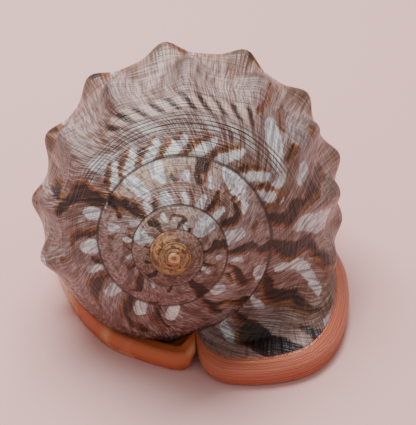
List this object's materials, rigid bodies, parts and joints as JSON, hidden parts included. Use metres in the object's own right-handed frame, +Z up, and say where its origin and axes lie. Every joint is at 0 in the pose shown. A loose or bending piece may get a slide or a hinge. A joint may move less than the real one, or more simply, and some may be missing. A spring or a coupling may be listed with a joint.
{
  "type": "sea snail shell",
  "caption": "Heavy domed sea snail shell with a low coiled spire, blunt knobs, a rolled outer lip and a toothed slot underneath, made to stand on its mouth as an ornament.",
  "frame": {"origin": "centre of the bounding box at its base, on the surface that the shell rests on", "axes": "+Z up through the back of the last turn, -Y towards the spire, +Y towards the front canal, +X towards the outer lip"},
  "size_m": [0.1344, 0.153, 0.1068],
  "materials": {
    "glazed_shell": "mottled brown and blue-white back with a satin gloss, polished orange lip and shield"
  },
  "bodies": {
    "root": {"helmet_shell": "glazed_shell"}
  },
  "joints": []
}
